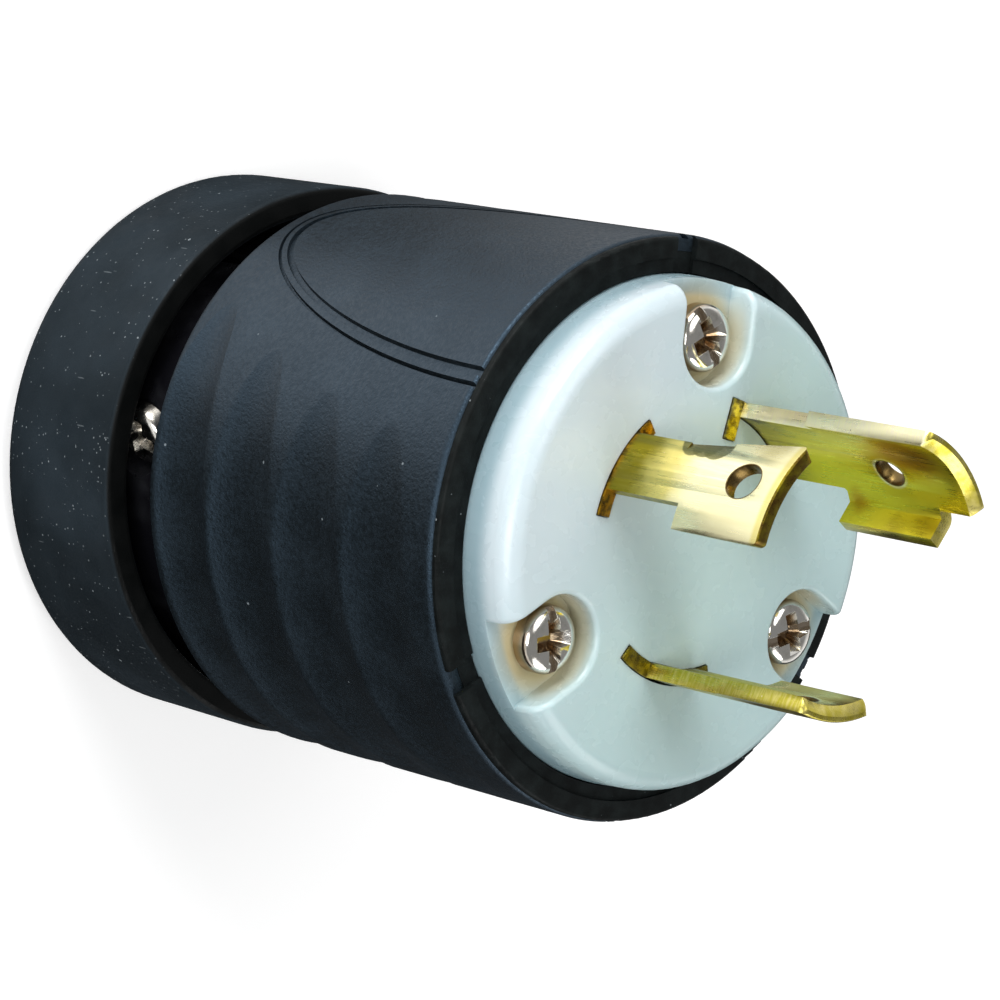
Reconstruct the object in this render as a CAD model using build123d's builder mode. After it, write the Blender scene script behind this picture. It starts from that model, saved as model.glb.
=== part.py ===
from build123d import *
import os
from math import cos, radians, sin

# Locking power plug, three wire, standing on its rear boot with the blades up.
# Lengths are millimetres. Z runs along the plug's axis, and zero is the boot's rear face.
# Bearings are degrees round the axis, anticlockwise seen from the blade end.

# Overall heights and radii
boot_height = 18.5
neck_gap = 6.2
body_length = 42.6
body_front_radius = 29.1
body_rear_radius = 29.5
boot_radius = 29.7
fit_gap = 0.05
overrun = 1.0

# Body shell
body_rear_wall = 3.4
body_wall = 4.7
body_front_round = 0.5
body_rear_round = 1.2
neck_hole_step = 2.8
face_seat_depth = 5.3
ring_rebate_depth = 2.0
grip_pitch = 10.05
grip_front_margin = 3.0
grip_depth = 1.85
grip_depth_shares = (0.54, 0.62, 0.78, 1.0)
grip_shift = 3.5
grip_crest_relief = 0.12
grip_bearings = (29.0, 209.0)
pad_bearings = (-60.5, 119.5)
pad_half_width = 14.35
pad_length = 39.6
pad_line_depth = 0.45
pad_inner_line_width = 0.8
pad_outer_line_width = 0.4
pad_line_step = 1.25

# Front sealing ring
ring_proud = 0.7
ring_edge_inset = 0.25
ring_tongue_inset = 1.7
ring_step_inset = 2.3
ring_step_depth = 0.35
ring_edge_round = 0.35
ring_notch_width = 2.7

# White face
face_proud = 5.4
face_seat_inset = 3.7
face_taper = 0.45
face_edge_round = 2.1
face_side_gap = 0.15

# Assembly screws and their wells
screw_count = 3
screw_bearing = -90.0
screw_circle_inset = 5.85
screw_head_radius = 3.35
screw_head_height = 2.3
screw_head_rim = 1.0
screw_dome_shares = (0.72, 0.22)
screw_shank_radius = 1.75
screw_point_share = 0.5
screw_hole_gap = 0.2
screw_recess_depth = 1.1
screw_recess_width = 0.95
screw_cross_length = 4.0
screw_thread_grip = 10.0
well_radius = 4.6
well_depth = 3.4
well_edge_round = 0.5

# Screw bosses inside the body
boss_radius = 3.8
boss_height = 13.5
boss_web_width = 5.0
boss_floor = 1.5

# Terminal carrier and its rear cover
carrier_side_gap = 0.3
carrier_height = 13.5
cover_thickness = 2.0
pocket_width = 11.5
pocket_roof = 1.5
wire_hole_radius = 3.1
wire_hole_circle = 16.2

# Blades
blade_outer_radius = 14.25
blade_thickness = 1.5
blade_slot_gap = 0.1
blade_root_proud = 0.2
blade_neck_length = 9.4
blade_hole_radius = 1.85
blade_hole_from_face = 15.9
blade_edge_bevel = 0.15
blade_tip_bevel_width = 0.95
blade_tip_bevel_height = 0.75
blade_corner_round = 0.8
foot_overlap = 1.6
line_length = 20.2
neutral_length = 20.6
ground_length = 24.6
ramp_from_face = 7.2
ramp_flat_width = 1.1
ramp_flat_depth = 0.2
ramp_flat_length = 5.0
ground_hole_radius = 1.6
ground_hole_from_face = 15.4
hook_reach = 2.3
hook_from_face = 8.7
hook_length = 11.5
hook_lean = 32.5
hook_bend_round = 1.2
hook_root_round = 0.5
lug_reach = 2.5

# Each blade's edges as bearings: the root, the neck and the locking tab
line_root = (-54.0, -10.0)
line_neck = (-46.5, -20.5)
line_tab = (-55.0, -10.5)
line_hole_bearing = -34.0
neutral_root = (52.5, 105.0)
neutral_neck = (68.5, 97.5)
neutral_tab = (67.0, 106.5)
neutral_hole_bearing = 86.0
ground_root = (-151.0, -102.0)
ground_neck = (-150.0, -108.0)
ground_tab = (-152.5, -103.0)
ground_hole_bearing = -136.0
hook_inner_bearing = -156.5
hook_outer_bearing = -160.2
hook_start_bearing = -149.0

# Terminal screws and their pressure plates
terminal_bearings = {"line": -32.0, "neutral": 82.0, "ground": -132.0}
terminal_shank_radius = 1.95
terminal_head_radius = 3.4
terminal_head_thickness = 2.0
terminal_tip_reach = 1.2
terminal_slot_width = 0.9
terminal_slot_depth = 0.9
plate_size = 9.0
plate_thickness = 1.4
plate_opening = 3.1
plate_corner_round = 0.8

# Cord clamp
drum_inset = 5.7
clamp_bore_radius = 10.5
clamp_throat_step = 3.1
clamp_throat_height = 9.0
clamp_neck_gap = 0.3
clamp_flange_gap = 0.8
clamp_flange_thickness = 2.6
clamp_collar_step = 1.4
clamp_collar_height = 2.0
clamp_bearing = 29.0
clamp_split_gap = 2.0
clamp_groove_count = 3
clamp_groove_pitch = 3.6
clamp_groove_width = 1.4
clamp_groove_depth = 0.7
clamp_screw_height = 16.2
clamp_screw_inset = 2.9
clamp_screw_sink = 6.0
clamp_screw_shank_radius = 1.7
clamp_screw_head_radius = 3.1
clamp_screw_head_height = 2.2
clamp_screw_round_share = 0.6
clamp_screw_tip_reach = 1.2
clamp_head_gap = 0.6
clamp_nut_size = 7.0
clamp_nut_thickness = 2.8
clamp_nut_sink = 10.8

# Rear boot
boot_floor = 4.5
boot_wall = 2.8
boot_cord_radius = 12.5
boot_lip_height = 2.5
boot_rear_round = 2.2
boot_front_round = 0.6
boot_cord_chamfer = 0.8

# Radii and heights worked out from the sizes above
body_bore_radius = min(body_front_radius, body_rear_radius) - body_wall
neck_hole_radius = body_bore_radius - neck_hole_step
carrier_radius = body_bore_radius - carrier_side_gap
face_seat_radius = body_front_radius - face_seat_inset
face_base_radius = face_seat_radius - face_side_gap
face_front_radius = face_base_radius - face_taper
screw_circle_radius = face_base_radius - screw_circle_inset
ring_inner_radius = face_seat_radius
ring_tongue_radius = body_front_radius - ring_tongue_inset
ring_step_radius = body_front_radius - ring_step_inset
drum_radius = boot_radius - drum_inset
clamp_neck_radius = neck_hole_radius - clamp_neck_gap
clamp_flange_radius = body_bore_radius - clamp_flange_gap
clamp_throat_radius = clamp_neck_radius - clamp_throat_step
clamp_collar_radius = drum_radius + clamp_collar_step
clamp_screw_offset = clamp_bore_radius + clamp_screw_inset
clamp_screw_seat = drum_radius - clamp_screw_sink
clamp_nut_seat = drum_radius - clamp_nut_sink
body_rear_z = boot_height + neck_gap
body_front_z = body_rear_z + body_length
ring_face_z = body_front_z + ring_proud
face_z = ring_face_z + face_proud
face_seat_z = body_front_z - face_seat_depth
well_floor_z = face_z - well_depth
carrier_rear_z = face_seat_z - carrier_height
cover_rear_z = carrier_rear_z - cover_thickness
boss_rear_z = cover_rear_z - boss_height
screw_tip_z = cover_rear_z - screw_thread_grip
chamber_floor_z = body_rear_z + body_rear_wall
flange_z = chamber_floor_z + fit_gap
drum_front_z = body_rear_z - fit_gap
blade_inner_radius = blade_outer_radius - blade_thickness
terminal_z = carrier_rear_z + (carrier_height - pocket_roof) / 2
plate_inner_radius = blade_outer_radius + plate_opening
plate_outer_radius = plate_inner_radius + plate_thickness

os.makedirs("parts", exist_ok=True)


def finish_piece(part, name):
    part.label = name
    export_step(part, "parts/" + name + ".step")


def radial(bearing):
    return Vector(cos(radians(bearing)), sin(radians(bearing)), 0)


def tangent(bearing):
    return Vector(-sin(radians(bearing)), cos(radians(bearing)), 0)


def facing_plane(bearing, reach, height):
    # Looks outwards along the bearing: local x runs round the axis and local y runs up
    return Plane(
        origin=radial(bearing) * reach + Vector(0, 0, height),
        x_dir=tangent(bearing),
        z_dir=radial(bearing),
    )


def section_plane(bearing, shift):
    # Holds the axis and the bearing: local x runs outwards and local y runs up
    return Plane(
        origin=radial(bearing) * shift,
        x_dir=radial(bearing),
        z_dir=-tangent(bearing),
    )


def arc_band(inner, outer, start, end):
    # Flat stretch of a ring between two bearings
    middle = (start + end) / 2
    with BuildSketch() as band:
        with BuildLine():
            ThreePointArc(radial(start) * outer, radial(middle) * outer, radial(end) * outer)
            Line(radial(end) * outer, radial(end) * inner)
            ThreePointArc(radial(end) * inner, radial(middle) * inner, radial(start) * inner)
            Line(radial(start) * inner, radial(start) * outer)
        make_face()
    return band.sketch


def body_radius_at(height):
    share = (height - body_rear_z) / body_length
    return body_rear_radius + (body_front_radius - body_rear_radius) * share


def make_pad_line(bearing, line_shift, line_width):
    # Shallow groove that outlines the oval pad, cut to an even depth in the body's side
    half_width = pad_half_width + line_shift
    length = pad_length + line_shift
    far_radius = max(body_front_radius, body_rear_radius) + overrun
    with BuildPart() as pad_line:
        with BuildSketch(facing_plane(bearing, 0, ring_face_z)):
            Ellipse(half_width + line_width / 2, length + line_width / 2)
            Ellipse(half_width - line_width / 2, length - line_width / 2, mode=Mode.SUBTRACT)
        extrude(amount=far_radius)
        with BuildSketch(Plane.XZ):
            with BuildLine():
                Polyline(
                    (body_rear_radius - pad_line_depth, body_rear_z),
                    (far_radius, body_rear_z),
                    (far_radius, body_front_z),
                    (body_front_radius - pad_line_depth, body_front_z),
                    close=True,
                )
            make_face()
        revolve(axis=Axis.Z, mode=Mode.INTERSECT)
    return pad_line.part


def make_grip_cutter(bearing):
    # Scalloped ring turned about an axis behind the body's own, so its hollows fade out sideways
    first_crest_z = body_front_z - grip_front_margin
    far_radius = max(body_front_radius, body_rear_radius) + grip_shift + grip_depth
    shift = grip_shift - grip_crest_relief
    start = (body_radius_at(first_crest_z) + grip_shift + grip_crest_relief, first_crest_z)
    crest = start
    with BuildPart() as cutter:
        with BuildSketch(section_plane(bearing, -grip_shift)):
            with BuildLine():
                for index, share in enumerate(grip_depth_shares):
                    low_z = first_crest_z - (index + 1) * grip_pitch
                    middle_z = low_z + grip_pitch / 2
                    valley = (body_radius_at(middle_z) + grip_shift - grip_depth * share, middle_z)
                    next_crest = (body_radius_at(low_z) + shift, low_z)
                    ThreePointArc(crest, valley, next_crest)
                    crest = next_crest
                Polyline(crest, (far_radius, low_z), (far_radius, first_crest_z), start)
            make_face()
        revolve(axis=Axis(radial(bearing) * -grip_shift, (0, 0, 1)))
    return cutter.part


def make_body_shell():
    # Ribbed nylon shell with a rear wall that traps the cord clamp and three screw bosses
    cutters = [make_grip_cutter(bearing) for bearing in grip_bearings]
    for bearing in pad_bearings:
        cutters.append(make_pad_line(bearing, 0, pad_inner_line_width))
        cutters.append(make_pad_line(bearing, pad_line_step, pad_outer_line_width))
    with BuildPart() as shell:
        with BuildSketch(Plane.XZ):
            with BuildLine():
                Polyline(
                    (neck_hole_radius, body_rear_z),
                    (body_rear_radius, body_rear_z),
                    (body_front_radius, body_front_z),
                    (ring_tongue_radius + fit_gap, body_front_z),
                    (ring_tongue_radius + fit_gap, body_front_z - ring_rebate_depth),
                    (face_seat_radius, body_front_z - ring_rebate_depth),
                    (face_seat_radius, face_seat_z),
                    (body_bore_radius, face_seat_z),
                    (body_bore_radius, chamber_floor_z),
                    (neck_hole_radius, chamber_floor_z),
                    close=True,
                )
            make_face()
        revolve(axis=Axis.Z)
        rear_edges = shell.edges().filter_by(GeomType.CIRCLE).group_by(Axis.Z)[0]
        fillet(rear_edges.sort_by(lambda edge: edge.radius)[-1], radius=body_rear_round)
        front_edges = shell.edges().filter_by(GeomType.CIRCLE).group_by(Axis.Z)[-1]
        fillet(front_edges.sort_by(lambda edge: edge.radius)[-1], radius=body_front_round)
        for cutter in cutters:
            add(cutter, mode=Mode.SUBTRACT)
        web_length = body_bore_radius - screw_circle_radius + fit_gap
        with BuildSketch(Plane.XY.offset(boss_rear_z)):
            with PolarLocations(screw_circle_radius, screw_count, start_angle=screw_bearing):
                Circle(boss_radius)
                Rectangle(web_length, boss_web_width, align=(Align.MIN, Align.CENTER))
        extrude(amount=boss_height)
        with BuildSketch(Plane.XY.offset(boss_rear_z + boss_floor)):
            with PolarLocations(screw_circle_radius, screw_count, start_angle=screw_bearing):
                Circle(screw_shank_radius + fit_gap)
        extrude(amount=boss_height, mode=Mode.SUBTRACT)
    finish_piece(shell.part, "body_shell")


def make_front_ring():
    # Soft sealing ring that closes the body's mouth round the white face
    outer_radius = body_front_radius - ring_edge_inset
    with BuildPart() as ring:
        with BuildSketch(Plane.XZ):
            with BuildLine():
                Polyline(
                    (ring_inner_radius, body_front_z - ring_rebate_depth),
                    (ring_tongue_radius, body_front_z - ring_rebate_depth),
                    (ring_tongue_radius, body_front_z),
                    (outer_radius, body_front_z),
                    (outer_radius, ring_face_z),
                    (ring_step_radius, ring_face_z),
                    (ring_step_radius, ring_face_z - ring_step_depth),
                    (ring_inner_radius, ring_face_z - ring_step_depth),
                    close=True,
                )
            make_face()
        revolve(axis=Axis.Z)
        top_edges = ring.edges().filter_by(GeomType.CIRCLE).group_by(Axis.Z)[-1]
        fillet(top_edges.sort_by(lambda edge: edge.radius)[-1], radius=ring_edge_round)
        with BuildSketch(Plane.XY.offset(body_front_z)):
            with PolarLocations(ring_inner_radius, screw_count, start_angle=screw_bearing):
                Rectangle(2 * well_radius, ring_notch_width)
        extrude(amount=ring_proud + overrun, mode=Mode.SUBTRACT)
    finish_piece(ring.part, "front_ring")


def slot_band(edges):
    # Slot for a blade's root, a little larger than the root all round
    play = blade_slot_gap / blade_outer_radius / radians(1)
    return arc_band(
        blade_inner_radius - blade_slot_gap,
        blade_outer_radius + blade_slot_gap,
        edges[0] - play,
        edges[1] + play,
    )


def foot_edges(edges):
    # A blade's foot is wider than its slot, so the blade can't be drawn out forwards
    spread = foot_overlap / blade_outer_radius / radians(1)
    return edges[0] - spread, edges[1] + spread


def lug_rectangle(play):
    # Inward lug at the ground blade's root, drawn from the blade's upper edge
    width = blade_thickness + 2 * play
    reach = lug_reach + blade_thickness + play
    start = radial(ground_root[1]) * blade_outer_radius
    across = -tangent(ground_root[1])
    inwards = -radial(ground_root[1])
    corner = start - across * play
    with BuildSketch() as lug:
        with BuildLine():
            Polyline(
                corner,
                corner + across * width,
                corner + across * width + inwards * reach,
                corner + inwards * reach,
                close=True,
            )
        make_face()
    return lug.sketch


def make_face_piece():
    # Glossy white nylon face with slots for the blades and wells for the screws
    slots = [slot_band(edges) for edges in (line_root, neutral_root, ground_root)]
    lug_slot = lug_rectangle(blade_slot_gap)
    depth = face_z - face_seat_z
    with BuildPart() as face:
        with BuildSketch(Plane.XZ):
            with BuildLine():
                Polyline(
                    (0, face_seat_z),
                    (face_base_radius, face_seat_z),
                    (face_base_radius, ring_face_z),
                    (face_front_radius, face_z),
                    (0, face_z),
                    close=True,
                )
            make_face()
        revolve(axis=Axis.Z)
        rim_edge = face.edges().filter_by(GeomType.CIRCLE).group_by(Axis.Z)[-1]
        fillet(rim_edge, radius=face_edge_round)
        with BuildSketch(Plane.XY.offset(face_z)):
            with PolarLocations(screw_circle_radius, screw_count, start_angle=screw_bearing):
                Circle(well_radius)
        extrude(amount=-well_depth, mode=Mode.SUBTRACT)
        with BuildSketch(Plane.XY.offset(face_z)):
            with PolarLocations(screw_circle_radius, screw_count, start_angle=screw_bearing):
                Rectangle(face_base_radius, 2 * well_radius, align=(Align.MIN, Align.CENTER))
        extrude(amount=-well_depth, mode=Mode.SUBTRACT)
        with BuildSketch(Plane.XY.offset(face_seat_z)):
            with PolarLocations(screw_circle_radius, screw_count, start_angle=screw_bearing):
                Circle(screw_shank_radius + screw_hole_gap)
        extrude(amount=depth, mode=Mode.SUBTRACT)
        with BuildSketch(Plane.XY.offset(face_seat_z)):
            for slot in slots:
                add(slot)
            add(lug_slot)
        extrude(amount=depth, mode=Mode.SUBTRACT)
        well_tops = face.edges().filter_by(GeomType.CIRCLE).group_by(Axis.Z)[-1]
        well_arcs = well_tops.filter_by(lambda edge: abs(edge.radius - well_radius) < fit_gap)
        fillet(well_arcs, radius=well_edge_round)
    finish_piece(face.part, "face")


def make_carrier():
    # Moulded block behind the face that holds the blades' feet and the wire terminals
    feet = [slot_band(foot_edges(edges)) for edges in (line_root, neutral_root, ground_root)]
    lug_slot = lug_rectangle(blade_slot_gap)
    pocket_height = carrier_height - pocket_roof
    pocket_depth = carrier_radius - blade_inner_radius
    tip_depth = terminal_tip_reach + fit_gap * 2 + screw_hole_gap
    with BuildPart() as carrier:
        with BuildSketch(Plane.XY.offset(carrier_rear_z)):
            Circle(carrier_radius)
            with PolarLocations(screw_circle_radius, screw_count, start_angle=screw_bearing):
                Circle(screw_shank_radius + screw_hole_gap, mode=Mode.SUBTRACT)
        extrude(amount=carrier_height)
        with BuildSketch(Plane.XY.offset(carrier_rear_z)):
            for foot in feet:
                add(foot)
            add(lug_slot)
        extrude(amount=carrier_height, mode=Mode.SUBTRACT)
        for bearing in terminal_bearings.values():
            with BuildSketch(facing_plane(bearing, blade_inner_radius, carrier_rear_z)):
                Rectangle(pocket_width, pocket_height, align=(Align.CENTER, Align.MIN))
            extrude(amount=pocket_depth + overrun, mode=Mode.SUBTRACT)
            with BuildSketch(facing_plane(bearing, blade_inner_radius, terminal_z)):
                Circle(terminal_shank_radius + screw_hole_gap)
            extrude(amount=-tip_depth, mode=Mode.SUBTRACT)
    finish_piece(carrier.part, "terminal_carrier")


def make_cover():
    # Thin disc that closes the carrier's rear and guides the three wires in
    with BuildPart() as cover:
        with BuildSketch(Plane.XY.offset(cover_rear_z)):
            Circle(carrier_radius)
            with PolarLocations(screw_circle_radius, screw_count, start_angle=screw_bearing):
                Circle(screw_shank_radius + screw_hole_gap, mode=Mode.SUBTRACT)
            for bearing in terminal_bearings.values():
                spot = radial(bearing) * wire_hole_circle
                with Locations((spot.X, spot.Y)):
                    Circle(wire_hole_radius, mode=Mode.SUBTRACT)
        extrude(amount=cover_thickness)
    finish_piece(cover.part, "terminal_cover")


def blade_bands(root, neck, tab, length):
    # A wide foot, the root in the face, a narrower neck and the locking tab
    neck_z = face_z + blade_root_proud
    tab_z = neck_z + blade_neck_length
    steps = (
        (foot_edges(root), carrier_rear_z, face_seat_z - fit_gap),
        (root, face_seat_z - fit_gap, neck_z),
        (neck, neck_z, tab_z),
        (tab, tab_z, face_z + length),
    )
    return [
        (arc_band(blade_inner_radius, blade_outer_radius, edges[0], edges[1]), low, high)
        for edges, low, high in steps
    ]


def make_blade(name, bands, hole, cutters):
    # Curved brass blade punched with one hole near its tip and one for its terminal screw
    hole_bearing, hole_radius, hole_z = hole
    with BuildPart() as blade:
        for band, low, high in bands:
            with BuildSketch(Plane.XY.offset(low)):
                add(band)
            extrude(amount=high - low)
        radial_edges = blade.edges().filter_by(GeomType.LINE).group_by(Axis.Z)[-1]
        fillet(radial_edges, radius=blade_corner_round)
        if name == "ground":
            hook_root = radial(ground_neck[0]) * blade_outer_radius + Vector(0, 0, face_z + hook_from_face)
            level_edges = blade.edges().filter_by(GeomType.LINE).filter_by(Plane.XY)
            fillet(level_edges.sort_by_distance(hook_root)[0], radius=hook_root_round)
        for cutter in cutters:
            add(cutter, mode=Mode.SUBTRACT)
        with BuildSketch(facing_plane(hole_bearing, 0, hole_z)):
            Circle(hole_radius)
        extrude(amount=blade_outer_radius + overrun, mode=Mode.SUBTRACT)
        with BuildSketch(facing_plane(terminal_bearings[name], 0, terminal_z)):
            Circle(terminal_shank_radius + fit_gap)
        extrude(amount=blade_outer_radius + overrun, mode=Mode.SUBTRACT)
    finish_piece(blade.part, "blade_" + name)


def make_tip_cutter(length, inner_width, inner_height):
    # Bevels the outer and inner edges of a blade's end face
    tip_z = face_z + length
    bevels = (
        (blade_outer_radius, 1, blade_edge_bevel, blade_edge_bevel),
        (blade_inner_radius, -1, inner_width, inner_height),
    )
    with BuildPart() as cutter:
        with BuildSketch(Plane.XZ):
            for wall, outwards, width, height in bevels:
                far_x = wall + outwards * width
                with BuildLine():
                    Polyline(
                        (wall - outwards * width, tip_z),
                        (far_x, tip_z - 2 * height),
                        (far_x, tip_z),
                        close=True,
                    )
                make_face()
        revolve(axis=Axis.Z)
    return cutter.part


def make_ramp_cutter():
    # Slopes the line blade's upper edge outwards from the neck to the full width of the tip
    bearing = line_tab[0]
    neck_x = blade_outer_radius * sin(radians(line_neck[0] - bearing))
    low_z = face_z + ramp_from_face
    tip_z = face_z + line_length
    with BuildPart() as ramp:
        with BuildSketch(facing_plane(bearing, blade_inner_radius - overrun, 0)):
            with BuildLine():
                Polyline(
                    (neck_x, low_z),
                    (0, tip_z),
                    (-overrun, tip_z),
                    (-overrun, low_z),
                    close=True,
                )
            make_face()
        extrude(amount=blade_thickness + 2 * overrun)
    return ramp.part


def make_flat_cutter():
    # Sloping flat along the outer corner of the line blade's upper edge, where the ramp starts
    outwards = radial(line_neck[0])
    edge_point = outwards * blade_outer_radius
    start_point = edge_point + tangent(line_neck[0]) * ramp_flat_width
    slope = (edge_point - outwards * ramp_flat_depth - start_point).normalized()
    end_point = start_point + slope * (ramp_flat_width + 2 * overrun)
    with BuildPart() as flat:
        with BuildSketch(Plane.XY.offset(face_z + ramp_from_face)):
            with BuildLine():
                Polyline(
                    start_point,
                    end_point,
                    end_point + outwards * 2 * overrun,
                    start_point + outwards * overrun,
                    close=True,
                )
            make_face()
        extrude(amount=ramp_flat_length)
    return flat.part


def hook_band():
    # Flange folded inwards from the ground blade's lower edge
    crease = radial(hook_inner_bearing) * blade_inner_radius
    bend = radial(hook_outer_bearing) * blade_outer_radius
    fold_bearing = hook_inner_bearing + hook_lean
    leg = -radial(fold_bearing) * hook_reach
    skin = -tangent(fold_bearing) * blade_thickness
    with BuildSketch() as hook:
        with BuildLine():
            Polyline(
                crease,
                crease + leg,
                crease + leg + skin,
                bend,
                radial(hook_start_bearing) * blade_outer_radius,
                radial(hook_start_bearing) * blade_inner_radius,
                close=True,
            )
        make_face()
        fillet(hook.vertices().sort_by_distance(bend)[0], radius=hook_bend_round)
    return hook.sketch


def make_blades():
    hole_z = face_z + blade_hole_from_face
    tab_z = face_z + blade_root_proud + blade_neck_length
    line_bands = blade_bands(line_root, line_neck, line_tab, line_length)
    ramp_band = arc_band(blade_inner_radius, blade_outer_radius, line_tab[0], line_neck[1])
    line_bands.append((ramp_band, face_z + ramp_from_face, tab_z))
    make_blade(
        "line",
        line_bands,
        (line_hole_bearing, blade_hole_radius, hole_z),
        [
            make_tip_cutter(line_length, blade_edge_bevel, blade_edge_bevel),
            make_ramp_cutter(),
            make_flat_cutter(),
        ],
    )
    make_blade(
        "neutral",
        blade_bands(neutral_root, neutral_neck, neutral_tab, neutral_length),
        (neutral_hole_bearing, blade_hole_radius, hole_z),
        [make_tip_cutter(neutral_length, blade_tip_bevel_width, blade_tip_bevel_height)],
    )
    hook_low = face_z + hook_from_face
    ground_bands = blade_bands(ground_root, ground_neck, ground_tab, ground_length)
    ground_bands.append((hook_band(), hook_low, hook_low + hook_length))
    ground_bands.append((lug_rectangle(0), carrier_rear_z, face_z + blade_root_proud))
    make_blade(
        "ground",
        ground_bands,
        (ground_hole_bearing, ground_hole_radius, face_z + ground_hole_from_face),
        [make_tip_cutter(ground_length, blade_tip_bevel_width, blade_tip_bevel_height)],
    )


def make_terminal(name, bearing):
    # Binding screw that runs through the pressure plate into the blade's foot
    shank_length = plate_outer_radius - blade_inner_radius + terminal_tip_reach
    with BuildPart() as screw:
        with BuildSketch(facing_plane(bearing, plate_outer_radius, terminal_z)):
            Circle(terminal_shank_radius)
        extrude(amount=-shank_length)
        with BuildSketch(facing_plane(bearing, plate_outer_radius, terminal_z)):
            Circle(terminal_head_radius)
        extrude(amount=terminal_head_thickness)
        slot_reach = plate_outer_radius + terminal_head_thickness - terminal_slot_depth
        with BuildSketch(facing_plane(bearing, slot_reach, terminal_z)):
            Rectangle(2 * terminal_head_radius, terminal_slot_width)
        extrude(amount=terminal_slot_depth, mode=Mode.SUBTRACT)
    finish_piece(screw.part, "terminal_screw_" + name)
    with BuildPart() as plate:
        with BuildSketch(facing_plane(bearing, plate_inner_radius, terminal_z)):
            RectangleRounded(plate_size, plate_size, plate_corner_round)
            Circle(terminal_shank_radius + fit_gap, mode=Mode.SUBTRACT)
        extrude(amount=plate_thickness)
    finish_piece(plate.part, "pressure_plate_" + name)


def make_assembly_screw(name, bearing):
    # Long pan-head screw with a cross and slot drive that ties the face to the body's bosses
    head_top_z = well_floor_z + screw_head_height
    centre = radial(bearing) * screw_circle_radius
    slot_plane = Plane(origin=centre + Vector(0, 0, head_top_z), x_dir=radial(bearing), z_dir=(0, 0, 1))
    section = Plane(origin=centre, x_dir=radial(bearing), z_dir=-tangent(bearing))
    dome_radius = screw_head_radius * screw_dome_shares[0]
    dome_z = head_top_z - (screw_head_height - screw_head_rim) * screw_dome_shares[1]
    with BuildPart() as screw:
        with BuildSketch(section):
            with BuildLine():
                Polyline(
                    (0, head_top_z),
                    (0, screw_tip_z),
                    (screw_shank_radius * screw_point_share, screw_tip_z),
                    (screw_shank_radius, screw_tip_z + screw_shank_radius),
                    (screw_shank_radius, well_floor_z),
                    (screw_head_radius, well_floor_z),
                    (screw_head_radius, well_floor_z + screw_head_rim),
                )
                Spline(
                    (screw_head_radius, well_floor_z + screw_head_rim),
                    (dome_radius, dome_z),
                    (0, head_top_z),
                    tangents=((0, 1), (-1, 0)),
                )
            make_face()
        revolve(axis=Axis(centre, (0, 0, 1)))
        with BuildSketch(slot_plane):
            Rectangle(2 * screw_head_radius, screw_recess_width)
            Rectangle(screw_recess_width, screw_cross_length)
        extrude(amount=-screw_recess_depth, mode=Mode.SUBTRACT)
    finish_piece(screw.part, name)


def clamp_spot_plane(side, reach):
    # Seat of one clamp screw: beside the cord, looking along the clamp's pull
    across = tangent(clamp_bearing) * (side * clamp_screw_offset)
    return Plane(
        origin=radial(clamp_bearing) * reach + across + Vector(0, 0, clamp_screw_height),
        x_dir=tangent(clamp_bearing),
        z_dir=radial(clamp_bearing),
    )


def make_jaw(name, towards):
    # Half of the glossy clamp drum: it grips the cord and is trapped by the body's rear wall
    pull = radial(clamp_bearing) * towards
    bore_top_z = flange_z + clamp_flange_thickness - clamp_throat_height
    collar_z = boot_floor + fit_gap
    jaw_reach = drum_radius + overrun
    with BuildPart() as jaw:
        with BuildSketch(Plane.XZ):
            with BuildLine():
                Polyline(
                    (clamp_bore_radius, collar_z),
                    (clamp_collar_radius, collar_z),
                    (clamp_collar_radius, collar_z + clamp_collar_height),
                    (drum_radius, collar_z + clamp_collar_height),
                    (drum_radius, drum_front_z),
                    (clamp_neck_radius, drum_front_z),
                    (clamp_neck_radius, flange_z),
                    (clamp_flange_radius, flange_z),
                    (clamp_flange_radius, flange_z + clamp_flange_thickness),
                    (clamp_throat_radius, flange_z + clamp_flange_thickness),
                    (clamp_bore_radius, bore_top_z),
                    close=True,
                )
            make_face()
        revolve(axis=Axis.Z)
        split(bisect_by=Plane(origin=pull * (clamp_split_gap / 2), z_dir=pull), keep=Keep.TOP)
        for index in range(clamp_groove_count):
            groove_z = collar_z + clamp_groove_pitch * (index + 1)
            with BuildSketch(Plane.XY.offset(groove_z)):
                Circle(clamp_bore_radius + clamp_groove_depth)
            extrude(amount=clamp_groove_width, mode=Mode.SUBTRACT)
        for side in (-1, 1):
            with BuildSketch(clamp_spot_plane(side, 0)):
                Circle(clamp_screw_shank_radius + screw_hole_gap)
            extrude(amount=towards * jaw_reach, mode=Mode.SUBTRACT)
            if towards > 0:
                with BuildSketch(clamp_spot_plane(side, clamp_screw_seat)):
                    Circle(clamp_screw_head_radius + clamp_head_gap)
                extrude(amount=jaw_reach, mode=Mode.SUBTRACT)
            else:
                with BuildSketch(clamp_spot_plane(side, -clamp_nut_seat)):
                    Rectangle(clamp_nut_size + 2 * fit_gap, clamp_nut_size + 2 * fit_gap)
                extrude(amount=-jaw_reach, mode=Mode.SUBTRACT)
    finish_piece(jaw.part, name)


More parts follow.
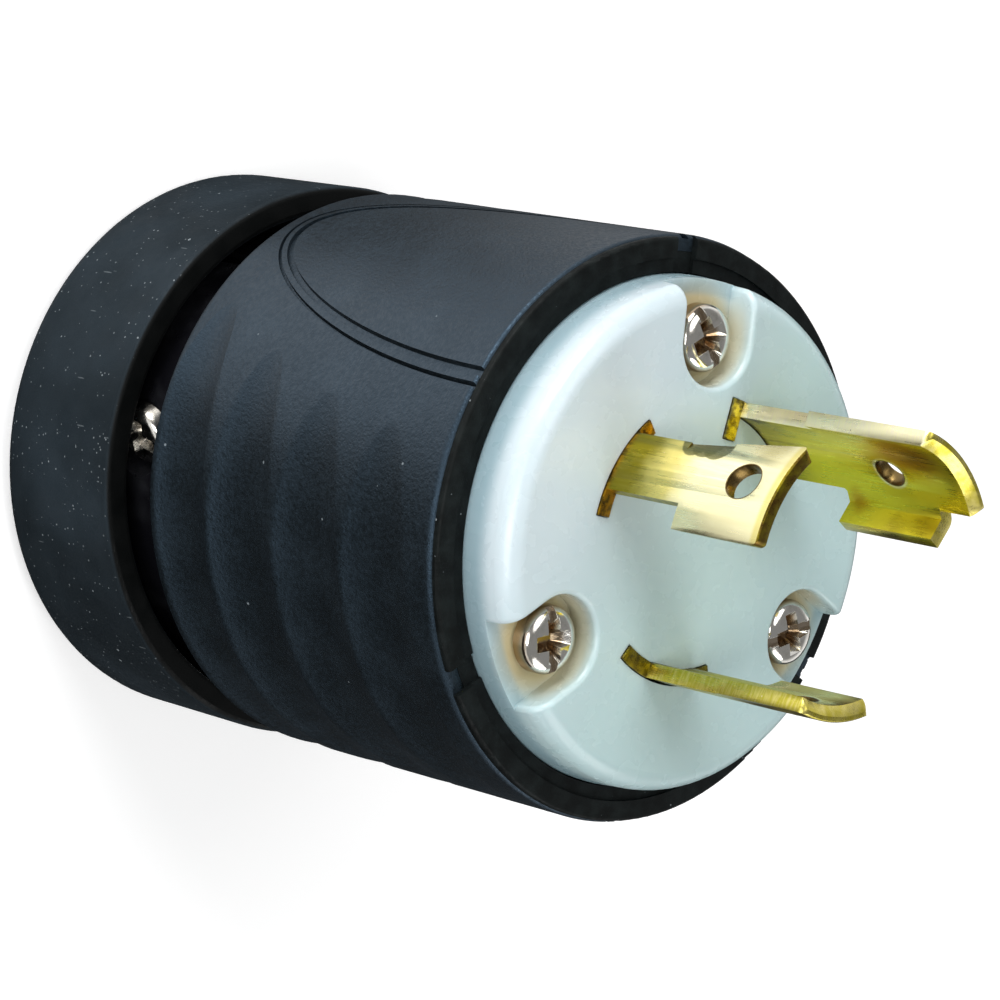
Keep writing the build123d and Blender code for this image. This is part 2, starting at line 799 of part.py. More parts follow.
def make_clamp_screw(name, side):
    # Pan-head screw that pulls the two jaws together beside the cord
    length = clamp_screw_seat + clamp_nut_seat + clamp_nut_thickness + clamp_screw_tip_reach
    with BuildPart() as screw:
        with BuildSketch(clamp_spot_plane(side, clamp_screw_seat)):
            Circle(clamp_screw_shank_radius)
        extrude(amount=-length)
        with BuildSketch(clamp_spot_plane(side, clamp_screw_seat)):
            Circle(clamp_screw_head_radius)
        extrude(amount=clamp_screw_head_height)
        head_edge = screw.edges().filter_by(GeomType.CIRCLE).sort_by(
            lambda edge: edge.center().dot(radial(clamp_bearing))
        )[-1]
        fillet(head_edge, radius=clamp_screw_head_height * clamp_screw_round_share)
        top_reach = clamp_screw_seat + clamp_screw_head_height
        with BuildSketch(clamp_spot_plane(side, top_reach)):
            Rectangle(2 * clamp_screw_head_radius, screw_recess_width)
            Rectangle(screw_recess_width, screw_cross_length)
        extrude(amount=-screw_recess_depth, mode=Mode.SUBTRACT)
    finish_piece(screw.part, "clamp_screw_" + name)
    with BuildPart() as nut:
        with BuildSketch(clamp_spot_plane(side, -clamp_nut_seat)):
            Rectangle(clamp_nut_size, clamp_nut_size)
            Circle(clamp_screw_shank_radius + fit_gap, mode=Mode.SUBTRACT)
        extrude(amount=-clamp_nut_thickness)
    finish_piece(nut.part, "clamp_nut_" + name)


def make_boot():
    # Rubber boot that snaps over the clamp's collar and stands proud of it all round
    lip_z = boot_floor + 2 * fit_gap + clamp_collar_height
    inner_radius = boot_radius - boot_wall
    with BuildPart() as boot:
        with BuildSketch(Plane.XZ):
            with BuildLine():
                Polyline(
                    (boot_cord_radius, 0),
                    (boot_radius, 0),
                    (boot_radius, boot_height),
                    (inner_radius, boot_height),
                    (inner_radius, lip_z + boot_lip_height),
                    (drum_radius + fit_gap, lip_z + boot_lip_height),
                    (drum_radius + fit_gap, lip_z),
                    (clamp_collar_radius + fit_gap, lip_z),
                    (clamp_collar_radius + fit_gap, boot_floor),
                    (boot_cord_radius, boot_floor),
                    close=True,
                )
            make_face()
        revolve(axis=Axis.Z)
        rear_edges = boot.edges().filter_by(GeomType.CIRCLE).group_by(Axis.Z)[0]
        fillet(rear_edges.sort_by(lambda edge: edge.radius)[-1], radius=boot_rear_round)
        front_edges = boot.edges().filter_by(GeomType.CIRCLE).group_by(Axis.Z)[-1]
        fillet(front_edges, radius=boot_front_round)
        cord_edge = boot.edges().filter_by(GeomType.CIRCLE).group_by(Axis.Z)[0]
        chamfer(cord_edge.sort_by(lambda edge: edge.radius)[0], length=boot_cord_chamfer)
    finish_piece(boot.part, "rear_boot")


make_body_shell()
make_front_ring()
make_face_piece()
make_carrier()
make_cover()
make_blades()
for terminal_name, terminal_bearing in terminal_bearings.items():
    make_terminal(terminal_name, terminal_bearing)
for screw_index in range(screw_count):
    make_assembly_screw(
        "assembly_screw_" + str(screw_index + 1), screw_bearing + screw_index * 360 / screw_count
    )
make_jaw("clamp_jaw_front", 1)
make_jaw("clamp_jaw_back", -1)
make_clamp_screw("left", -1)
make_clamp_screw("right", 1)
make_boot()
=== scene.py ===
from math import cos, pi, radians, sin, tau

import bmesh
import bpy
from mathutils import Matrix, Vector


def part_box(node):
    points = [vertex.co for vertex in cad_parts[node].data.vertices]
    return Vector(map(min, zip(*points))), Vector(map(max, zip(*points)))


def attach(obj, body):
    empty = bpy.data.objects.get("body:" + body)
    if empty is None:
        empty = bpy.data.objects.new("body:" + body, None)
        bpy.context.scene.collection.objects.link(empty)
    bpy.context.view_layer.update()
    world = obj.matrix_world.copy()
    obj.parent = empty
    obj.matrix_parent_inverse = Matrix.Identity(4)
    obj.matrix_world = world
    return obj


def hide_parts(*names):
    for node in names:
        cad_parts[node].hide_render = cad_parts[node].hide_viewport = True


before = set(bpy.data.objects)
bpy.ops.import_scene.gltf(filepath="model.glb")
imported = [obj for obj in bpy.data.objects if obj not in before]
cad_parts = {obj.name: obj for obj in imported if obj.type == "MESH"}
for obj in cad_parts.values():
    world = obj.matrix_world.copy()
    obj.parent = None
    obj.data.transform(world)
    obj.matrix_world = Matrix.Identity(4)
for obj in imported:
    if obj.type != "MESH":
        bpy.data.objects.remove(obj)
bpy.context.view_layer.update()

# Rear boot: one cup of soft black rubber, moulded, and pushed over the collar of the cord clamp.
# Its matt skin holds dust and faint scratches, and it is the end that the plug stands on.
mm = 0.001
boot_black = (0.009, 0.014, 0.018, 1)
boot_faded = (0.018, 0.027, 0.035, 1)
boot_painted_shade = (0.0015, 0.002, 0.002, 1)
dust_grey = (0.30, 0.34, 0.36, 1)
# Each kind of mark has a spacing, the largest share of it that a mark fills, and a rarity
boot_dust = (1.6 * mm, 0.13, 4.0)
boot_fine_dust = (0.55 * mm, 0.22, 2.2)
boot_scratches = (0.9 * mm, 0.11, 4.0)
boot_scratch_turns = ((0, 0, 0), (35, 20, 0), (-50, 10, 0))
scratch_drawing = (1, 1, 0.12)
scratch_strength = 0.35
boot_mark_strength = 0.6
boot_grain_size = 0.16 * mm
boot_grain_depth = 0.012 * mm


def place_node(tree, kind, feeds=None, **settings):
    # Feeds are links or plain values for the node's inputs
    node = tree.nodes.new(kind)
    for name, value in settings.items():
        setattr(node, name, value)
    for key, value in (feeds or {}).items():
        if isinstance(value, bpy.types.NodeSocket):
            tree.links.new(value, node.inputs[key])
        else:
            node.inputs[key].default_value = value
    return node


def start_finish(name, roughness, metallic=0.0, specular=0.5):
    material = bpy.data.materials.new(name)
    material.use_nodes = True
    tree = material.node_tree
    shader = tree.nodes["Principled BSDF"]
    shader.inputs["Roughness"].default_value = roughness
    shader.inputs["Metallic"].default_value = metallic
    shader.inputs["Specular IOR Level"].default_value = specular
    coords = place_node(tree, "ShaderNodeTexCoord").outputs["Object"]
    return material, tree, shader, coords


def calculate(tree, operation, *values):
    feeds = dict(enumerate(values))
    return place_node(tree, "ShaderNodeMath", feeds, operation=operation).outputs[0]


def mottle(tree, coords, size, detail=3.0):
    # Soft cloudy pattern whose lumps are about as large as size
    feeds = {"Vector": coords, "Scale": 1 / size, "Detail": detail}
    return place_node(tree, "ShaderNodeTexNoise", feeds).outputs["Fac"]


def stretch(tree, coords, scale, turn=(0, 0, 0)):
    feeds = {"Vector": coords, "Scale": scale, "Rotation": [radians(angle) for angle in turn]}
    return place_node(tree, "ShaderNodeMapping", feeds).outputs["Vector"]


def remap(tree, value, low, high, to_low=0.0, to_high=1.0):
    feeds = {"Value": value, "From Min": low, "From Max": high, "To Min": to_low, "To Max": to_high}
    return place_node(tree, "ShaderNodeMapRange", feeds, interpolation_type="SMOOTHSTEP").outputs["Result"]


def specks(tree, coords, spacing, largest_share, rarity=5.0):
    # Sparse round specks: a few are as large as the share of their spacing, and most are far smaller
    feeds = {"Vector": coords, "Scale": 1 / spacing}
    cells = place_node(tree, "ShaderNodeTexVoronoi", feeds)
    chance = place_node(tree, "ShaderNodeSeparateColor", {"Color": cells.outputs["Color"]}).outputs["Red"]
    reach = calculate(tree, "MULTIPLY", calculate(tree, "POWER", chance, rarity), largest_share)
    closeness = calculate(tree, "SUBTRACT", reach, cells.outputs["Distance"])
    return remap(tree, closeness, 0.0, 0.02)


def mix_colours(tree, share, first, second):
    node = place_node(tree, "ShaderNodeMix", data_type="RGBA")
    for index, value in ((0, share), (6, first), (7, second)):
        if isinstance(value, bpy.types.NodeSocket):
            tree.links.new(value, node.inputs[index])
        else:
            node.inputs[index].default_value = value
    return node.outputs[2]


def emboss(tree, height, depth, below=None):
    feeds = {"Height": height, "Distance": depth, "Strength": 1.0}
    if below is not None:
        feeds["Normal"] = below
    return place_node(tree, "ShaderNodeBump", feeds).outputs["Normal"]


def connect(tree, shader, **sockets):
    for name, socket in sockets.items():
        tree.links.new(socket, shader.inputs[name.replace("_", " ")])


def dress(node_name, material):
    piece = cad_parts[node_name]
    if not piece.material_slots:
        piece.data.materials.append(material)
    for slot in piece.material_slots:
        slot.material = material


boot_rubber, tree, shader, coords = start_finish("boot_rubber", 0.62, specular=0.12)
fade = remap(tree, mottle(tree, coords, 14 * mm), 0.35, 0.75)
boot_colour = mix_colours(tree, fade, boot_black, boot_faded)
dust = specks(tree, coords, *boot_dust)
dusty = remap(tree, mottle(tree, coords, 8 * mm), 0.42, 0.62, 0.5, 1.0)
fine_dust = specks(tree, coords, *boot_fine_dust)
marks = calculate(tree, "MAXIMUM", dust, calculate(tree, "MULTIPLY", fine_dust, dusty))
for scratch_turn in boot_scratch_turns:
    drawn_out = stretch(tree, coords, scratch_drawing, scratch_turn)
    scratches = calculate(tree, "MULTIPLY", specks(tree, drawn_out, *boot_scratches), scratch_strength)
    marks = calculate(tree, "MAXIMUM", marks, scratches)
marks = calculate(tree, "MULTIPLY", marks, boot_mark_strength)
boot_colour = mix_colours(tree, marks, boot_colour, dust_grey)
# Painted shade: faces turned upwards, the rim's front face among them, are painted near black for the shade
# of the body over them
boot_normal = place_node(tree, "ShaderNodeNewGeometry").outputs["Normal"]
boot_upwards = place_node(tree, "ShaderNodeSeparateXYZ", {"Vector": boot_normal}).outputs["Z"]
boot_colour = mix_colours(tree, remap(tree, boot_upwards, 0.5, 0.9), boot_colour, boot_painted_shade)
boot_roughness = remap(tree, mottle(tree, coords, 3 * mm), 0.3, 0.7, 0.5, 0.72)
boot_relief = emboss(tree, mottle(tree, coords, boot_grain_size), boot_grain_depth)
connect(tree, shader, Base_Color=boot_colour, Roughness=boot_roughness, Normal=boot_relief)
dress("rear_boot", boot_rubber)

# Cord clamp: a glossy black drum in two halves, drawn together on the cord and trapped by the body.
# The halves are moulded in hard plastic, and only a strip of them shows between boot and body.
jaw_black = (0.006, 0.006, 0.008, 1)
jaw_smear = (0.02, 0.021, 0.024, 1)
jaw_ripple_size = 1.5 * mm
jaw_ripple_depth = 0.01 * mm

jaw_plastic, tree, shader, coords = start_finish("jaw_plastic", 0.16)
smear = remap(tree, mottle(tree, coords, 5 * mm), 0.45, 0.75)
connect(
    tree,
    shader,
    Base_Color=mix_colours(tree, smear, jaw_black, jaw_smear),
    Roughness=remap(tree, mottle(tree, coords, 2 * mm), 0.3, 0.8, 0.1, 0.3),
    Normal=emboss(tree, mottle(tree, coords, jaw_ripple_size), jaw_ripple_depth),
)
for jaw_name in ("clamp_jaw_front", "clamp_jaw_back"):
    dress(jaw_name, jaw_plastic)

# Body shell: the nylon handle, moulded with two oval pads and scalloped grips between them.
# Its skin has a fine leathery grain that is satin where it is lit and nearly black where it isn't.
body_black = (0.004, 0.005, 0.005, 1)
body_worn = (0.008, 0.011, 0.013, 1)
body_sheen_tint = (0.44, 0.70, 1.0, 1)
body_grain_size = 0.34 * mm
body_grain_depth = 0.036 * mm
grip_softness = 1.1 * mm
pad_bearing = -60.5
pad_half_width = 17 * mm
grip_start = 20 * mm
lint_spacing = 3.2 * mm
lint_share = 0.07

body_nylon, tree, shader, coords = start_finish("body_nylon", 0.42, specular=0.7)
shader.inputs["Specular Tint"].default_value = body_sheen_tint
worn = remap(tree, mottle(tree, coords, 6 * mm), 0.35, 0.8)
body_colour = mix_colours(tree, worn, body_black, body_worn)
lint = calculate(tree, "MULTIPLY", specks(tree, coords, lint_spacing, lint_share), 0.5)
body_colour = mix_colours(tree, lint, body_colour, dust_grey)
grain_cells = place_node(
    tree, "ShaderNodeTexVoronoi", {"Vector": coords, "Scale": 1 / body_grain_size}, feature="SMOOTH_F1"
).outputs["Distance"]
grain = calculate(tree, "ADD", grain_cells, mottle(tree, coords, body_grain_size / 2))
# The scallops' crests are softened, and the pads' fine outlines between them are left crisp
pad_coords = stretch(tree, coords, (1, 1, 1), (0, 0, -pad_bearing))
from_pad = calculate(
    tree, "ABSOLUTE", place_node(tree, "ShaderNodeSeparateXYZ", {"Vector": pad_coords}).outputs["Y"]
)
grip_share = remap(tree, from_pad, pad_half_width, grip_start)
softened = place_node(
    tree, "ShaderNodeBevel", {"Radius": calculate(tree, "MULTIPLY", grip_share, grip_softness)}, samples=8
).outputs["Normal"]
connect(
    tree,
    shader,
    Base_Color=body_colour,
    Roughness=remap(tree, mottle(tree, coords, 0.5 * mm), 0.3, 0.7, 0.38, 0.54),
    Normal=emboss(tree, grain, body_grain_depth, softened),
)
dress("body_shell", body_nylon)

# Terminal carrier and its cover: plain moulded blocks inside the body that hold the blades' feet.
# They are dark nylon with the matt skin of a mould that was never polished.
carrier_grey = (0.06, 0.06, 0.064, 1)
carrier_pale = (0.09, 0.09, 0.094, 1)
carrier_grain_size = 0.4 * mm
carrier_grain_depth = 0.02 * mm

inner_nylon, tree, shader, coords = start_finish("inner_nylon", 0.5)
connect(
    tree,
    shader,
    Base_Color=mix_colours(tree, mottle(tree, coords, 3 * mm), carrier_grey, carrier_pale),
    Roughness=remap(tree, mottle(tree, coords, 1 * mm), 0.3, 0.7, 0.42, 0.6),
    Normal=emboss(tree, mottle(tree, coords, carrier_grain_size), carrier_grain_depth),
)
for inner_name in ("terminal_carrier", "terminal_cover"):
    dress(inner_name, inner_nylon)

# Terminals: a binding screw and a square pressure plate for each wire, behind the blades' feet.
# The brass screw marks the line wire, the plated one the neutral and the green one the ground.
terminal_gold = (0.62, 0.43, 0.14, 1)
terminal_brown = (0.42, 0.27, 0.08, 1)
terminal_green = (0.05, 0.22, 0.09, 1)
terminal_green_dark = (0.03, 0.14, 0.06, 1)
terminal_pale = (0.66, 0.64, 0.6, 1)
terminal_dull = (0.5, 0.48, 0.45, 1)
turning_lines = (600, 600, 6000)
turning_depth = 0.006 * mm


def make_terminal_finish(name, bright, dull, roughness):
    material, tree, shader, coords = start_finish(name, roughness, 1.0)
    lines = mottle(tree, stretch(tree, coords, turning_lines), 1.0)
    connect(
        tree,
        shader,
        Base_Color=mix_colours(tree, mottle(tree, coords, 2 * mm), bright, dull),
        Roughness=remap(tree, lines, 0.3, 0.7, roughness * 0.8, roughness * 1.4),
        Normal=emboss(tree, lines, turning_depth),
    )
    return material


terminal_brass = make_terminal_finish("terminal_brass", terminal_gold, terminal_brown, 0.3)
terminal_plated = make_terminal_finish("terminal_plated", terminal_pale, terminal_dull, 0.22)
terminal_dyed = make_terminal_finish("terminal_dyed", terminal_green, terminal_green_dark, 0.35)
for wire, screw_metal in (("line", terminal_brass), ("neutral", terminal_plated), ("ground", terminal_dyed)):
    dress("terminal_screw_" + wire, screw_metal)
    dress("pressure_plate_" + wire, terminal_brass)
for nut_side in ("left", "right"):
    dress("clamp_nut_" + nut_side, terminal_plated)

# Blades: strips of brass punched and rolled to one circle, with a hole near each locking tip.
# They are brown at the root, in the holes and where a cutter went, and the ground blade carries an
# orange tarnish. Their skin brightens towards the tip in a painted reflection, each hole has a painted
# highlight round its lip, and the line blade has patches of painted shade. The neutral blade leans a
# little towards the axis.
blade_cream_and_highlight = (0.92, 0.86, 0.52, 1)
blade_gold = (0.74, 0.64, 0.20, 1)
blade_yellow = (0.54, 0.46, 0.040, 1)
blade_lemon = (0.78, 0.68, 0.045, 1)
blade_olive = (0.27, 0.22, 0.016, 1)
blade_orange = (0.50, 0.24, 0.010, 1)
blade_brown = (0.13, 0.075, 0.016, 1)
blade_pink = (0.88, 0.80, 0.58, 1)
blade_dull_shade = (0.16, 0.16, 0.060, 1)
blade_soot = (0.035, 0.022, 0.012, 1)
blade_edge_round = 0.12 * mm
blade_inside = 12.75 * mm
blade_outside = 14.25 * mm
neutral_bearing = 86.0
neutral_lean = 0.3 * mm
# The ground blade's fold: the way its flange faces, and where the flange stands
fold_way = -214.0
fold_bearing = -161.0
fold_middle = 12.6 * mm
fold_reaches = (3.5 * mm, 4.5 * mm)
# Bearing, height over the face and radius of each hole
line_hole = (-34.0, 15.9 * mm, 1.85 * mm)
neutral_hole = (neutral_bearing, 15.9 * mm, 1.85 * mm)
ground_hole = (-136.0, 15.4 * mm, 1.6 * mm)
# How densely the marks of rolling and cutting repeat along X, Y and Z
streak_marks = (1500, 1500, 180)
rolling_marks = (5200, 5200, 260)
cutting_marks = (700, 700, 5200)
root_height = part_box("face")[1].z
weld_distance = 0.002 * mm
flat_angle = 2.0
edge_angle = 28.0


def spot_at(bearing, reach, height):
    return (reach * cos(radians(bearing)), reach * sin(radians(bearing)), height)


def merged_copy(node_name):
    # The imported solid's mesh with its loose corners welded and its flat faces made whole
    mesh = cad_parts[node_name].data.copy()
    draft = bmesh.new()
    draft.from_mesh(mesh)
    bmesh.ops.remove_doubles(draft, verts=draft.verts, dist=weld_distance)
    bmesh.ops.dissolve_limit(
        draft, angle_limit=radians(flat_angle), verts=draft.verts, edges=draft.edges, delimit={"NORMAL"}
    )
    draft.to_mesh(mesh)
    draft.free()
    return mesh


def link_piece(name, mesh, material):
    mesh.name = name
    piece = bpy.data.objects.new(name, mesh)
    bpy.context.scene.collection.objects.link(piece)
    mesh.materials.clear()
    mesh.materials.append(material)
    return piece


def settle(piece):
    # Turns the live modifiers into a plain mesh
    bpy.context.view_layer.update()
    evaluated = piece.evaluated_get(bpy.context.evaluated_depsgraph_get())
    mesh = bpy.data.meshes.new_from_object(evaluated)
    piece.modifiers.clear()
    piece.data = mesh
    return piece


def round_edges(piece, width, angle=edge_angle):
    bevel = piece.modifiers.new("rounded_edges", "BEVEL")
    bevel.width = width
    bevel.segments = 2
    bevel.limit_method = "ANGLE"
    bevel.angle_limit = radians(angle)
    bevel.harden_normals = True
    for polygon in piece.data.polygons:
        polygon.use_smooth = True
    return settle(piece)


def vector_maths(tree, operation, output, *values):
    feeds = dict(enumerate(values))
    return place_node(tree, "ShaderNodeVectorMath", feeds, operation=operation).outputs[output]


def stain(tree, coords, colour, patch_colour, spot, full_reach, end_reach, strength, raggedness=1.6 * mm):
    # Ragged patch of another colour round one spot
    span = vector_maths(tree, "DISTANCE", "Value", coords, spot)
    unevenness = calculate(tree, "MULTIPLY", mottle(tree, coords, 1.6 * mm), raggedness)
    rough_span = calculate(tree, "ADD", span, unevenness)
    share = remap(tree, rough_span, full_reach, end_reach, strength, 0.0)
    return mix_colours(tree, share, colour, patch_colour)


def make_brass(name, skin_and_painted_reflection, edge, end, hole, scorched, patches, folded=0.0):
    # Skin is the colour at the root, the neck and the tip with the heights where each begins; the rise from a
    # dark root to a pale tip is partly a painted reflection
    material, tree, shader, coords = start_finish(name, 0.3, 1.0)
    place = place_node(tree, "ShaderNodeSeparateXYZ", {"Vector": coords}).outputs
    rise = calculate(tree, "SUBTRACT", place["Z"], root_height)
    cloud = mottle(tree, coords, 3.5 * mm)
    ragged_rise = calculate(tree, "ADD", rise, calculate(tree, "MULTIPLY", cloud, 4 * mm))
    root_colour, neck_colour, tip_colour, neck_rise, tip_rise = skin_and_painted_reflection
    colour = mix_colours(tree, remap(tree, ragged_rise, neck_rise / 2, neck_rise), root_colour, neck_colour)
    colour = mix_colours(tree, remap(tree, ragged_rise, neck_rise, tip_rise), colour, tip_colour)
    streaks = mottle(tree, stretch(tree, coords, streak_marks), 1.0, 4.0)
    colour = mix_colours(tree, remap(tree, streaks, 0.5, 0.75, 0.0, 0.14), colour, neck_colour)
    for patch in patches:
        colour = stain(tree, coords, colour, *patch)
    # What faces in or out is rolled skin, on the fold's flange too, and the rest is a cut edge
    normal = place_node(tree, "ShaderNodeNewGeometry").outputs["Normal"]
    flat_coords = vector_maths(tree, "MULTIPLY", "Vector", coords, (1, 1, 0))
    outwards = vector_maths(tree, "NORMALIZE", "Vector", flat_coords)
    facing = calculate(tree, "ABSOLUTE", vector_maths(tree, "DOT_PRODUCT", "Value", normal, outwards))
    along_fold = vector_maths(tree, "DOT_PRODUCT", "Value", normal, spot_at(fold_way, 1, 0))
    from_fold = vector_maths(tree, "DISTANCE", "Value", flat_coords, spot_at(fold_bearing, fold_middle, 0))
    fold_share = remap(tree, from_fold, *fold_reaches, folded, 0.0)
    fold_facing = calculate(tree, "MULTIPLY", calculate(tree, "ABSOLUTE", along_fold), fold_share)
    facing = calculate(tree, "MAXIMUM", facing, fold_facing)
    cut_lines = mottle(tree, stretch(tree, coords, cutting_marks), 1.0)
    edge_colour = mix_colours(tree, remap(tree, cut_lines, 0.3, 0.75), edge[0], edge[1])
    colour = mix_colours(tree, remap(tree, facing, 0.45, 0.8, 1.0, 0.0), colour, edge_colour)
    upwards = place_node(tree, "ShaderNodeSeparateXYZ", {"Vector": normal}).outputs["Z"]
    end_lines = mottle(tree, coords, 1.2 * mm)
    end_colour = mix_colours(tree, remap(tree, end_lines, 0.3, 0.75), end[0], end[1])
    colour = mix_colours(tree, remap(tree, upwards, 0.35, 0.6), colour, end_colour)
    # A painted highlight on the lip round the hole, and a brown wall in it
    hole_bearing, hole_rise, hole_radius = hole
    hole_axis = spot_at(hole_bearing, 1.0, 0)
    from_hole = vector_maths(tree, "SUBTRACT", "Vector", coords, (0, 0, root_height + hole_rise))
    hole_span = vector_maths(
        tree, "LENGTH", "Value", vector_maths(tree, "CROSS_PRODUCT", "Vector", from_hole, hole_axis)
    )
    lip = remap(tree, hole_span, hole_radius + 0.16 * mm, hole_radius + 0.5 * mm, 0.8, 0.0)
    colour = mix_colours(tree, lip, colour, blade_cream_and_highlight)
    hole_wall = remap(tree, hole_span, hole_radius + 0.06 * mm, hole_radius + 0.14 * mm, 0.95, 0.0)
    colour = mix_colours(tree, hole_wall, colour, blade_brown)
    # The root is scorched and sooty, with a brown line where it enters the face
    scorched_rise = calculate(tree, "ADD", rise, calculate(tree, "MULTIPLY", cloud, 0.8 * mm))
    scorch = remap(tree, scorched_rise, 0.4 * mm, 1.3 * mm, 0.9, 0.0)
    soot_share = remap(tree, mottle(tree, coords, 0.8 * mm, 4.0), 0.42, 0.58, 0.0, 0.85)
    scorch_colour = mix_colours(tree, soot_share, scorched, blade_soot)
    colour = mix_colours(tree, scorch, colour, scorch_colour)
    contact = remap(tree, rise, 0.02 * mm, 0.18 * mm, 0.8, 0.0)
    colour = mix_colours(tree, contact, colour, blade_brown)
    pits = specks(tree, coords, 1.4 * mm, 0.09)
    colour = mix_colours(tree, calculate(tree, "MULTIPLY", pits, 0.8), colour, blade_soot)
    pale_pits = specks(tree, stretch(tree, coords, (1, 1, 1), (30, 0, 20)), 1.1 * mm, 0.08)
    colour = mix_colours(tree, calculate(tree, "MULTIPLY", pale_pits, 0.8), colour, blade_pink)
    rolled = mottle(tree, stretch(tree, coords, rolling_marks), 1.0)
    relief = emboss(tree, rolled, 0.0006 * mm)
    relief = emboss(tree, cut_lines, 0.002 * mm, relief)
    connect(
        tree,
        shader,
        Base_Color=colour,
        Roughness=remap(tree, calculate(tree, "MULTIPLY", rolled, cloud), 0.15, 0.4, 0.26, 0.4),
        Normal=relief,
    )
    return material


# Stains and patches of painted shade: colour, place, how far each is whole and where it ends, its strength
# and its raggedness
line_stains_and_painted_shade = (
    # The three dull patches at bearing -47 paint the shade on the neck's step
    (blade_dull_shade, spot_at(-47.0, blade_outside, root_height + 7.9 * mm), 1.7 * mm, 1.9 * mm, 0.9, 0.3 * mm),
    (blade_dull_shade, spot_at(-47.0, blade_outside, root_height + 9.3 * mm), 1.7 * mm, 1.9 * mm, 0.9, 0.3 * mm),
    (blade_dull_shade, spot_at(-47.0, blade_outside, root_height + 10.7 * mm), 1.7 * mm, 1.9 * mm, 0.9, 0.3 * mm),
    (blade_gold, spot_at(-34.0, 0, root_height + 34.5 * mm), 20.6 * mm, 21.0 * mm, 0.8, 0.0),
    (blade_olive, spot_at(-52.0, blade_outside, root_height + 17.0 * mm), 1.0 * mm, 4.0 * mm, 0.5),
)
neutral_stains = (
    (blade_soot, spot_at(60.0, blade_inside, root_height + 1.2 * mm), 1.2 * mm, 3.0 * mm, 0.9),
    (blade_brown, spot_at(74.0, blade_inside, root_height + 13.0 * mm), 1.5 * mm, 5.0 * mm, 0.6),
    (blade_soot, spot_at(68.0, blade_inside, root_height + 19.2 * mm), 1.1 * mm, 1.5 * mm, 0.9),
)
ground_stains = (
    (blade_orange, spot_at(-119.0, blade_inside, root_height + 19.0 * mm), 2.4 * mm, 6.0 * mm, 0.9),
    (blade_orange, spot_at(-131.0, blade_inside, root_height + 15.5 * mm), 2.0 * mm, 4.4 * mm, 0.45),
    (blade_orange, spot_at(-154.0, blade_inside, root_height + 10.0 * mm), 1.0 * mm, 2.6 * mm, 0.7),
    (blade_brown, spot_at(-166.0, blade_inside - 1.0 * mm, root_height + 15.0 * mm), 1.0 * mm, 3.4 * mm, 0.6),
    (blade_soot, spot_at(-109.0, blade_inside, root_height + 1.8 * mm), 1.0 * mm, 2.4 * mm, 0.9),
)
brasses = {
    "line": make_brass(
        "line_brass",
        (blade_olive, blade_gold, blade_cream_and_highlight, 8.5 * mm, 12.5 * mm),
        (blade_olive, blade_yellow),
        (blade_brown, blade_olive),
        line_hole,
        blade_orange,
        line_stains_and_painted_shade,
    ),
    "neutral": make_brass(
        "neutral_brass",
        (blade_olive, blade_yellow, blade_gold, 6 * mm, 16 * mm),
        (blade_yellow, blade_gold),
        (blade_yellow, blade_gold),
        neutral_hole,
        blade_olive,
        neutral_stains,
    ),
    "ground": make_brass(
        "ground_brass",
        (blade_yellow, blade_lemon, blade_lemon, 8 * mm, 18 * mm),
        (blade_cream_and_highlight, blade_pink),
        (blade_gold, blade_yellow),
        ground_hole,
        blade_yellow,
        ground_stains,
        1.0,
    ),
}
for wire, brass in brasses.items():
    blade = link_piece("brass_blade_" + wire, merged_copy("blade_" + wire), brass)
    if wire == "neutral":
        lean = Vector(spot_at(neutral_bearing, -neutral_lean, 0))
        tip_rise = max(vertex.co.z for vertex in blade.data.vertices) - root_height
        for vertex in blade.data.vertices:
            vertex.co += lean * (max(vertex.co.z - root_height, 0) / tip_rise)
    round_edges(blade, blade_edge_round)
    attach(blade, "root")
    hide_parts("blade_" + wire)

# Face: the white nylon disc that the blades stand in, screwed to the body's three bosses.
# It is glossy and lets some light in, with a warm tint down in the screws' wells.
face_white = (0.57, 0.66, 0.70, 1)
face_cool_shade = (0.46, 0.61, 0.62, 1)
face_shade = (0.24, 0.37, 0.42, 1)
well_brown = (0.56, 0.47, 0.24, 1)
screw_circle = 19.4 * mm
screw_count = 3
first_screw_bearing = -90.0
screw_bearings = [first_screw_bearing + index * 360 / screw_count for index in range(screw_count)]
well_depth = 3.4 * mm
painted_light_way = (0.82, -0.57, 0)
cloud_reach = 4 * mm
painted_light_reach = 23 * mm
face_wave_size = 7 * mm
face_wave_depth = 0.05 * mm

face_nylon, tree, shader, coords = start_finish("face_nylon", 0.26)
shader.inputs["Subsurface Weight"].default_value = 0.35
shader.inputs["Subsurface Scale"].default_value = 1.6 * mm
shader.inputs["Subsurface Radius"].default_value = (0.8, 1.0, 1.0)
seat_spots = [spot_at(bearing, screw_circle, root_height - well_depth) for bearing in screw_bearings]
near_screw = vector_maths(tree, "DISTANCE", "Value", coords, seat_spots[0])
for spot in seat_spots[1:]:
    near_screw = calculate(tree, "MINIMUM", near_screw, vector_maths(tree, "DISTANCE", "Value", coords, spot))
warm = remap(tree, near_screw, 3.6 * mm, 6.6 * mm, 0.9, 0.0)
face_place = place_node(tree, "ShaderNodeSeparateXYZ", {"Vector": coords}).outputs
depth = calculate(tree, "SUBTRACT", root_height, face_place["Z"])
sunk = remap(tree, depth, -0.4 * mm, 1.6 * mm)
# Painted light: the face is paler towards one side and cooler and darker towards the other, with a cloudy
# edge between
painted_light_side = vector_maths(tree, "DOT_PRODUCT", "Value", coords, painted_light_way)
cloudy_painted_light = calculate(tree, "MULTIPLY_ADD", mottle(tree, coords, 9 * mm), cloud_reach, painted_light_side)
face_colour = mix_colours(tree, remap(tree, cloudy_painted_light, 0.0, painted_light_reach), face_cool_shade, face_white)
face_colour = mix_colours(tree, calculate(tree, "MULTIPLY", warm, sunk), face_colour, well_brown)
